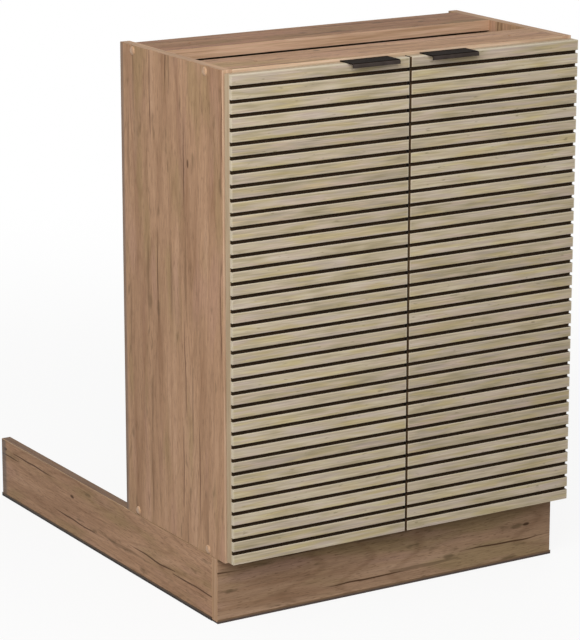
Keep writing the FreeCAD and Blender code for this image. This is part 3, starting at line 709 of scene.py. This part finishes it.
plinth_arris = 1.0 * MM
plinth_rear_shade = 20 * MM
clip_arris = 0.4 * MM
angle_arris = 0.3 * MM
highlight_rise = (0.2, 0.97)
oak_front = oak_print("oak print, front plinth", 0, 1, 25.0, bold=1.35, shade="#EAF0F4")
# The left plinth gets a band of painted shade at its rear end.
oak_return = oak_print("oak print, left plinth", 1, 0, 17.0, bold=1.2, shade="#F7F6F6",
                       rear=(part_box("left_plinth")[1].y, plinth_rear_shade))
plinth_strip = banding("ABS edge strip, plinth ends", 2, "#C29D7E", "#AC8662")
# Painted highlight: the boards' upward-facing arris takes this pale strip colour.
plinth_arris_highlight = banding("ABS edge strip, rubbed pale", 1, "#B29271", "#9D7C5A")
# Painted shade: the boards' top faces take this dark strip colour.
plinth_top_shade = banding("ABS edge strip, plinth tops_painted_shade", 1, "#735232", "#624428")
for node, along, finish in (("front_plinth", 0, oak_front), ("left_plinth", 1, oak_return)):
    board = softened(node, plinth_arris, shortest_arris)
    for face in board.faces:
        at_end = abs(face.normal[along]) > flat_facing
        rise = face.normal.z
        # Faces that slope up along the top arris take the painted highlight.
        painted_light = highlight_rise[0] < rise < highlight_rise[1]
        face.material_index = 1 if at_end else 2 if painted_light else 3 if rise > flat_facing else 0
    fit_shape(node + "_oak", board, "carcass", "oak_decor_board", node,
              finish, plinth_strip, plinth_arris_highlight, plinth_top_shade)
for node in ("front_plinth_clips", "left_plinth_clips"):
    fit_shape(node + "_moulded", softened(node, clip_arris), "carcass", "black_plastic", node, leg_plastic)
angle_plate = softened("plinth_corner_bracket", angle_arris)
fit_shape("corner_angle_zinc", angle_plate, "carcass", "screw_steel", "plinth_corner_bracket", zinc)
screws("plinth_screws", "carcass", small_shank, small_head, 7)

# Sealing strips: soft smoky channels pushed on the lower edges of both plinth boards, cut a little
# long at their free ends.

seal_arris = 0.25 * MM
seal_dark_to = 2.4 * MM
seal_pale_from = 4.6 * MM


def sealing_strip(name, code, shade, foot):
    """Smoky soft plastic: a dark base on the floor, and thin lips that let the board show through."""
    material, tree, shader, place = shaded(name)
    height = put(tree, "ShaderNodeSeparateXYZ", {0: place}).outputs["Z"]
    clouds = drawn_out(tree, place, (24, 24, 3), 3.0)
    lips = put(tree, "ShaderNodeValToRGB", {0: clouds}, [(0.35, shade), (0.65, code)])
    base = put(tree, "ShaderNodeMapRange", {0: height, 1: seal_pale_from, 2: seal_dark_to})
    colour = put(tree, "ShaderNodeMix", {0: base, 6: lips, 7: linear(foot)}, data_type="RGBA").outputs[2]
    rough = put(tree, "ShaderNodeMapRange", {0: clouds, 1: 0.3, 2: 0.7, 3: 0.44, 4: 0.58})
    wire(tree, shader, {"Base Color": colour, "Roughness": rough, "Specular IOR Level": 0.15})
    return material


# One strip in two copies, the left one darker and the front one paler, as painted shade and painted light.
seal_lit_copy = sealing_strip("smoky sealing strip", "#856B52", "#745B45", "#544843")
seal_shaded_copy = sealing_strip("smoky sealing strip, darker", "#624E3C", "#534131", "#1F1916")
for node, seal_plastic in (("front_plinth_seal", seal_lit_copy), ("left_plinth_seal", seal_shaded_copy)):
    fit_shape(node + "_soft", softened(node, seal_arris), "carcass", "seal_strip", node, seal_plastic)

# Door boards: black dyed fibreboard, bored behind for the hinge cups, with pale strips glued round the
# edges, painted black as painted shade where the doors meet, and two clear soft stops at the free corners.

meeting_edge = 3 * MM
level_facing = 0.5
stop_sides = 32
stop_steps = 6


def black_fibreboard(name):
    """Through dyed fibreboard: a warm black with fine fibres that catch a little light."""
    material, tree, shader, place = shaded(name)
    fibres = drawn_out(tree, place, (1.6, 1.6, 2.6), 3.0)
    clouds = drawn_out(tree, place, (60, 60, 80), 2.0, 4.0)
    colour = put(tree, "ShaderNodeValToRGB", {0: fibres}, [(0.32, "#2B1E12"), (0.68, "#463421")])
    colour = put(tree, "ShaderNodeMix", {0: 0.35, 6: colour, 7: clouds}, data_type="RGBA",
                 blend_type="OVERLAY").outputs[2]
    bump = put(tree, "ShaderNodeBump", {"Strength": 0.25, "Distance": 0.06 * MM, "Height": fibres})
    wire(tree, shader, {"Base Color": colour, "Normal": bump, "Roughness": 0.85, "Specular IOR Level": 0.2})
    return material


def clear_stop(name):
    """Clear soft polyurethane: see-through, with a faintly uneven skin."""
    material, tree, shader, place = shaded(name)
    skin = drawn_out(tree, place, (1.5, 1.5, 1.5), 1.0)
    tint = put(tree, "ShaderNodeValToRGB", {0: skin}, [(0.3, "#DDDDD6"), (0.7, "#F2F2EE")])
    wire(tree, shader, {"Base Color": tint, "Transmission Weight": 0.7, "Roughness": 0.18, "IOR": 1.48})
    return material


black_core = black_fibreboard("black dyed fibreboard")
pale_strip = banding("ABS edge strip, pale oak", 2, "#C0AA8C", "#AF9778")
# Painted shade: the strips' faces where the doors meet take this black.
gap_shade_strip = banding("ABS edge strip, black", 2, "#3A2F27", "#2B221B")
stop_skin = clear_stop("clear polyurethane")
for side in ("left", "right"):
    body = side + "_door"
    board = softened(body + "_board", board_arris, shortest_arris)
    fit_shape(body + "_core", board, body, "black_core", body + "_board", black_core)
    bands = strips_of(body + "_edge_bands")
    for face in bands.faces:
        meeting = abs(face.calc_center_median().x) < meeting_edge and abs(face.normal.z) < level_facing
        face.material_index = 1 if meeting else 0
    fit_shape(body + "_edge_strips", bands, body, "pale_edge_strip", body + "_edge_bands",
              pale_strip, gap_shade_strip)
    stops = bmesh.new()
    for group in separate(body + "_bumpers"):
        low, high = corners_of(group)
        seat = Vector(((low.x + high.x) / 2, low.y, (low.z + high.z) / 2))
        radius, rise = (high.z - low.z) / 2, high.y - low.y
        outline = [(0, 0), (radius, 0)]
        for step in range(1, stop_steps + 1):
            angle = pi / 2 * step / stop_steps
            outline.append((radius * cos(angle), rise * sin(angle)))
        outline[-1] = (0, rise)
        turned(stops, outline, seat, Vector((0, 1, 0)), stop_sides)
    bmesh.ops.recalc_face_normals(stops, faces=stops.faces[:])
    fit_shape(body + "_stops", stops, body, "clear_rubber", body + "_bumpers", stop_skin)

# Door slats: thirty-six flat bars on each door, wrapped in a pale greyish oak foil with the grain
# along them, and glued on with open black grooves between.

slat_count = 36
groove_width = 5 * MM
slat_arris = 0.3 * MM
wall_facing = 0.8
under_facing = 0.3
bright_edge = 2.2 * MM
bright_line = 0.7 * MM
bright_end = 2.4 * MM
print_apart = 60.0
slat_seeds = {"left": 11, "right": 29}
slat_low, slat_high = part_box("left_door_slats")
slat_length = slat_high.x - slat_low.x
slat_height = (slat_high.z - slat_low.z - (slat_count - 1) * groove_width) / slat_count

slat_tree, given = sized_tree("slat row", {
    "Slats": "Int", "Length": "Float", "Thickness": "Float", "Height": "Float", "Pitch": "Float",
    "First": "Vector", "Seed": "Int", "Finish": "Material"})
up = put(slat_tree, "ShaderNodeCombineXYZ", {2: given["Pitch"]})
row = put(slat_tree, "GeometryNodeMeshLine",
          {"Count": given["Slats"], "Start Location": given["First"], "Offset": up})
size = put(slat_tree, "ShaderNodeCombineXYZ",
           {0: given["Length"], 1: given["Thickness"], 2: given["Height"]})
bar = put(slat_tree, "GeometryNodeMeshCube", {"Size": size})
bar = put(slat_tree, "GeometryNodeStoreNamedAttribute", {
    "Geometry": bar, "Name": "slat_place", "Value": put(slat_tree, "GeometryNodeInputPosition")},
    data_type="FLOAT_VECTOR", domain="POINT")
row = put(slat_tree, "GeometryNodeInstanceOnPoints", {"Points": row, "Instance": bar})
tone = put(slat_tree, "FunctionNodeRandomValue", {"Seed": given["Seed"]}, data_type="FLOAT").outputs[1]
row = put(slat_tree, "GeometryNodeStoreNamedAttribute", {"Geometry": row, "Name": "slat_tone", "Value": tone},
          data_type="FLOAT", domain="INSTANCE")
end_tree(slat_tree, row, given["Finish"])


def pale_oak(name):
    """Pale greyish oak foil: each slat has its own cast, with yellow and pink patches, fine streaks
    and a few small knots, and a painted highlight makes it lighter along its top edge and ends. The
    streaks are drawn a little coarser than real pores, so that they show."""
    material, tree, shader, place = shaded(name)
    own = put(tree, "ShaderNodeAttribute", attribute_name="slat_tone").outputs["Fac"]
    apart = put(tree, "ShaderNodeMath", {0: own, 1: print_apart}, operation="MULTIPLY")

    def streaks(length, height, detail, shift):
        """Noise drawn out along a slat, other on each slat, with its sizes in millimetres."""
        spread = put(tree, "ShaderNodeMapping", {"Vector": place, "Location": (shift,) * 3, "Scale": (
            1 / (length * MM), 1 / (height * MM), 1 / (height * MM))})
        return put(tree, "ShaderNodeTexNoise", {"Vector": spread, "W": apart, "Scale": 1.0,
                                                "Detail": detail}, noise_dimensions="4D")

    cast = put(tree, "ShaderNodeValToRGB", {0: streaks(62, 9, 2.0, 0.0)}, [
        (0.34, "#B0A182"), (0.45, "#BCAD91"), (0.55, "#C3B399"), (0.66, "#CAB8A4")])
    for pattern, most, code in ((streaks(70, 7, 1.0, 15.0), 0.55, "#C2B07F"),
                                (streaks(85, 8, 1.0, 21.0), 0.45, "#C0B0A7")):
        patch = put(tree, "ShaderNodeMapRange", {0: pattern, 1: 0.50, 2: 0.66, 3: 0.0, 4: most},
                    interpolation_type="SMOOTHSTEP")
        cast = put(tree, "ShaderNodeMix", {0: patch, 6: cast, 7: linear(code)}, data_type="RGBA").outputs[2]
    light = put(tree, "ShaderNodeMapRange", {0: own, 3: 0.37, 4: 0.63})
    fine = streaks(48, 1.5, 3.0, 6.0)
    for over in (light, fine):
        cast = put(tree, "ShaderNodeMix", {0: 0.5, 6: cast, 7: over}, data_type="RGBA",
                   blend_type="OVERLAY").outputs[2]
    specks = put(tree, "ShaderNodeMapRange", {
        0: streaks(13, 3.6, 1.0, 9.0), 1: 0.68, 2: 0.78, 3: 0.0, 4: 0.5})
    within = put(tree, "ShaderNodeAttribute", attribute_name="slat_place").outputs["Vector"]
    within = put(tree, "ShaderNodeSeparateXYZ", {0: within}).outputs
    # Painted highlight: the slat is made lighter along its top edge and at its ends.
    edge = put(tree, "ShaderNodeMapRange", {
        0: within["Z"], 1: slat_height / 2 - bright_edge, 2: slat_height / 2 - bright_line,
        3: 0.0, 4: 0.8})
    from_middle = put(tree, "ShaderNodeMath", {0: within["X"]}, operation="ABSOLUTE")
    end = put(tree, "ShaderNodeMapRange", {
        0: from_middle, 1: slat_length / 2 - bright_end, 2: slat_length / 2, 3: 0.0, 4: 0.6})
    painted_light = put(tree, "ShaderNodeMath", {0: edge, 1: end}, operation="MAXIMUM")
    for cover, code in ((specks, "#776A4C"), (painted_light, "#DED2B9")):
        cast = put(tree, "ShaderNodeMix", {0: cover, 6: cast, 7: linear(code)}, data_type="RGBA").outputs[2]
    bump = put(tree, "ShaderNodeBump", {"Strength": 0.2, "Distance": 0.08 * MM, "Height": fine})
    wire(tree, shader, {"Base Color": cast, "Normal": bump, "Roughness": 0.58, "Specular IOR Level": 0.35})
    return material


slat_foil = pale_oak("pale oak foil")
# Painted shade: the slats' ends at the gap between the doors take this dark brown.
gap_end_shade = banding("ABS end strip, dark brown", 2, "#715A40", "#5C4732")
for side in ("left", "right"):
    node = side + "_door_slats"
    low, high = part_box(node)
    first = (low + high) / 2
    first.z = low.z + slat_height / 2
    mesh = grown(node + "_oak", bpy.data.meshes.new(node + "_start"), slat_tree, {
        "Slats": slat_count, "Length": slat_length, "Thickness": high.y - low.y, "Height": slat_height,
        "Pitch": slat_height + groove_width, "First": first, "Seed": slat_seeds[side], "Finish": slat_foil})
    rounded = bmesh.new()
    rounded.from_mesh(mesh)
    round_off(rounded, rounded.edges[:], slat_arris)
    inward = 1 if side == "left" else -1
    for face in rounded.faces:
        middle = face.calc_center_median()
        wall = face.normal.z > wall_facing or face.normal.z < -under_facing
        in_groove = wall and low.z + slat_arris < middle.z < high.z - slat_arris
        face.material_index = 1 if in_groove else 2 if face.normal.x * inward > wall_facing else 0
    fit_shape(node + "_oak", rounded, side + "_door", "pale_oak_slat", node, slat_foil, black_core, gap_end_shade)

# Edge pulls: bent steel sheet with a satin black powder coat, hooked over each door's top edge and
# held by two screws behind it.

pull_arris = 0.3 * MM
lip_facing = 0.7


def powder_coat(name, code, shade):
    """Satin black powder coat: a fine orange peel that breaks up its highlights."""
    material, tree, shader, place = shaded(name)
    peel = drawn_out(tree, place, (1.1, 1.1, 1.1), 2.0)
    clouds = drawn_out(tree, place, (18, 18, 18), 1.0, 6.0)
    colour = put(tree, "ShaderNodeValToRGB", {0: clouds}, [(0.35, shade), (0.65, code)])
    rough = put(tree, "ShaderNodeMapRange", {0: peel, 1: 0.3, 2: 0.7, 3: 0.48, 4: 0.62})
    bump = put(tree, "ShaderNodeBump", {"Strength": 0.3, "Distance": 0.05 * MM, "Height": peel})
    wire(tree, shader, {
        "Base Color": colour, "Normal": bump, "Roughness": rough, "Specular IOR Level": 0.012})
    return material


black_coat = powder_coat("black powder coat", "#1B130E", "#140D08")
# Painted light: the lip's front faces take this paler copy of the coat.
lit_lip_coat = powder_coat("black powder coat, rubbed by hands", "#48403C", "#3D3632")
for side in ("left", "right"):
    sheet = softened(side + "_handle", pull_arris)
    for face in sheet.faces:
        face.material_index = 1 if face.normal.y < -lip_facing else 0
    fit_shape(side + "_pull", sheet, side + "_door", "black_metal", side + "_handle",
              black_coat, lit_lip_coat)
    screws(side + "_handle_screws", side + "_door", small_shank, small_head, 13)

# Hinges: pressed and nickel plated. A cup let into the door carries the pin, which turns in the eye
# of a hooked arm, and the arm is screwed to a plate on the side panel.

hinge_arris = 0.3 * MM
plate_shank = 2.5 * MM
plate_head = 1.8 * MM
arm_head = 1.6 * MM
for side in ("left", "right"):
    dress(side + "_hinge_pins", nickel)
    screws(side + "_cup_screws", side + "_door", small_shank, small_head, 17)
    for level in ("lower", "upper"):
        for part, body in (("cup", side + "_door"), ("arm", "carcass"), ("plate", "carcass")):
            node = side + "_" + level + "_hinge_" + part
            fit_shape(node + "_nickel", softened(node, hinge_arris), body, "hinge_steel", node, nickel)
screws("hinge_plate_screws", "carcass", plate_shank, plate_head, 19)
screws("hinge_arm_screws", "carcass", plate_shank, arm_head, 23, flat=True)

# Floor, light and camera. A wide pale floor, a large soft light above the left front corner, a weaker
# one behind on the right and an even sky, so that colours come out about as they are written.

floor_half = 9.0
shadow_near = 0.9
shadow_far = 2.6
floor_glow = 0.88

floor_mesh = bpy.data.meshes.new("floor")
floor_mesh.from_pydata([(-floor_half, -floor_half, 0), (floor_half, -floor_half, 0),
                        (floor_half, floor_half, 0), (-floor_half, floor_half, 0)], [], [(0, 1, 2, 3)])
floor_piece = placed("floor", floor_mesh)


def seen_ray(tree):
    """One where the ray comes from the camera, a mirror or through glass, and nought elsewhere."""
    path = put(tree, "ShaderNodeLightPath").outputs
    first = put(tree, "ShaderNodeMath", {0: path["Is Camera Ray"], 1: path["Is Glossy Ray"]},
                operation="MAXIMUM")
    return put(tree, "ShaderNodeMath", {0: first, 1: path["Is Transmission Ray"]}, operation="MAXIMUM")


floor_paint, tree, shader, place = shaded("pale studio floor")
reach = put(tree, "ShaderNodeVectorMath", {0: place}, operation="LENGTH").outputs["Value"]
glow = put(tree, "ShaderNodeMapRange", {0: reach, 1: shadow_near, 2: shadow_far, 3: floor_glow, 4: 1.0},
           interpolation_type="SMOOTHSTEP")
seen = seen_ray(tree)
paint = put(tree, "ShaderNodeMix", {0: seen, 6: linear("#858380"), 7: linear("#F2F1EF")}, data_type="RGBA")
wire(tree, shader, {"Base Color": paint.outputs[2], "Roughness": 0.9, "Specular IOR Level": 0.0})
share = put(tree, "ShaderNodeMath", {0: glow, 1: seen}, operation="MULTIPLY")
white = put(tree, "ShaderNodeEmission", {"Color": (1, 1, 1, 1), "Strength": 1.0})
lit = put(tree, "ShaderNodeMixShader", {0: share, 1: shader, 2: white})
wire(tree, tree.nodes["Material Output"], {"Surface": lit})
floor_mesh.materials.append(floor_paint)

sky_level = 0.34
world = bpy.data.worlds.new("studio")
world.use_nodes = True
bpy.context.scene.world = world
tree = world.node_tree
level = put(tree, "ShaderNodeMapRange", {0: seen_ray(tree), 3: sky_level, 4: 1.0})
wire(tree, tree.nodes["Background"], {"Color": (1, 1, 1, 1), "Strength": level})

lamp_aim = Vector((0.0, -0.2, 0.5))
for lamp_name, lamp_place, lamp_size, lamp_power, mirrored in (
        ("key_light", Vector((-1.85, -2.15, 2.0)), 2.6, 84.0, True),
        ("fill_light", Vector((2.3, 2.4, 0.9)), 1.6, 42.0, False)):
    lamp = placed(lamp_name, bpy.data.lights.new(lamp_name, "AREA"))
    lamp.data.shape = "DISK"
    lamp.data.size = lamp_size
    lamp.data.energy = lamp_power
    lamp.location = lamp_place
    lamp.rotation_euler = (lamp_place - lamp_aim).to_track_quat("Z", "Y").to_euler()
    lamp.visible_glossy = mirrored

camera_place = Vector((-2285.8, -3769.9, 1491.3)) * MM
camera_azimuth = radians(-31.4956)
camera_elevation = radians(14.566)
camera_lens = 162.63

camera = placed("camera", bpy.data.cameras.new("camera"))
toward = Vector((sin(camera_azimuth) * cos(camera_elevation),
                 -cos(camera_azimuth) * cos(camera_elevation), sin(camera_elevation)))
camera.location = camera_place
camera.rotation_euler = toward.to_track_quat("Z", "Y").to_euler()
camera.data.lens = camera_lens
bpy.context.scene.camera = camera
bpy.context.scene.view_settings.view_transform = "Standard"
